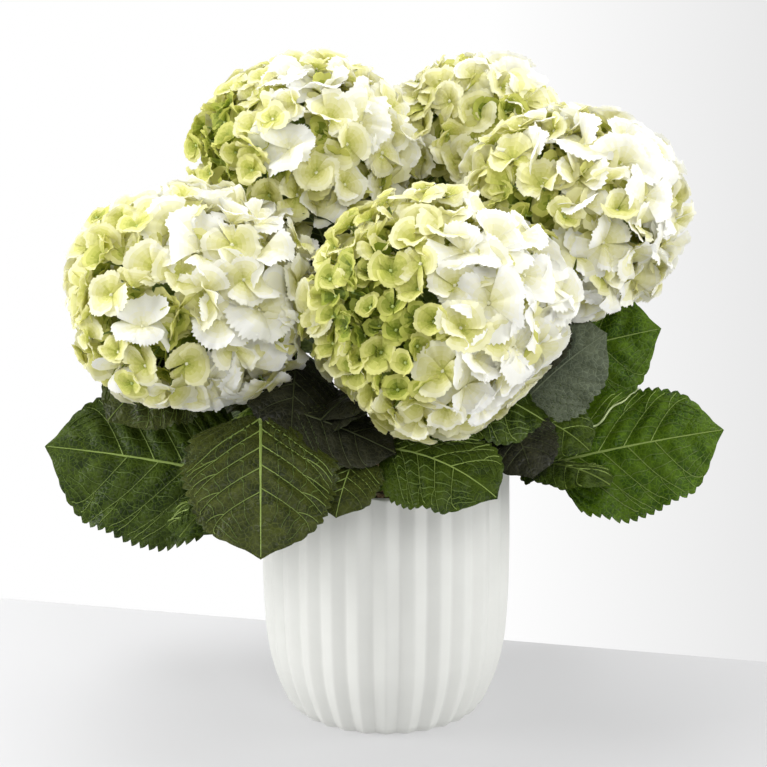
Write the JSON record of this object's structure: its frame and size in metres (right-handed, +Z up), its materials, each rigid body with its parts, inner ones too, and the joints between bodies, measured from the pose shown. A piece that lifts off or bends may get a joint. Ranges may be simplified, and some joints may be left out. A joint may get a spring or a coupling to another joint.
{
  "type": "potted hydrangea shrub",
  "caption": "Mophead hydrangea with white and lime balls of blossom over broad toothed leaves, growing in a round ribbed ceramic planter with potting mix.",
  "frame": {"origin": "middle of the planter's flat underside", "axes": "+Z up, -Y towards the front, where the lowest ball of blossom hangs out furthest, +X to the right seen from the front"},
  "size_m": [0.4442, 0.3619, 0.4388],
  "materials": {
    "glaze": "matt white glaze",
    "potting_mix": "moist potting mix with bark and perlite",
    "bark": "pale woody bark",
    "cane": "green young wood",
    "blossom": "soft white and lime sepals",
    "foliage": "dark green leaf with pale veins"
  },
  "bodies": {
    "root": {"planter": "glaze", "potting_mix": "potting_mix", "crown_stem": "bark", "cane_front": "cane", "cane_right": "cane", "cane_back_right": "cane", "cane_back_left": "cane", "cane_left": "cane", "bloom_front": "blossom", "bloom_right": "blossom", "bloom_back_right": "blossom", "bloom_back_left": "blossom", "bloom_left": "blossom", "leaves_front_left": "foliage", "leaves_left": "foliage", "leaves_front": "foliage", "leaves_front_right": "foliage", "leaves_right": "foliage", "leaves_right_upper": "foliage", "leaves_back_right": "foliage", "leaves_back": "foliage", "leaves_back_left": "foliage"}
  },
  "joints": []
}
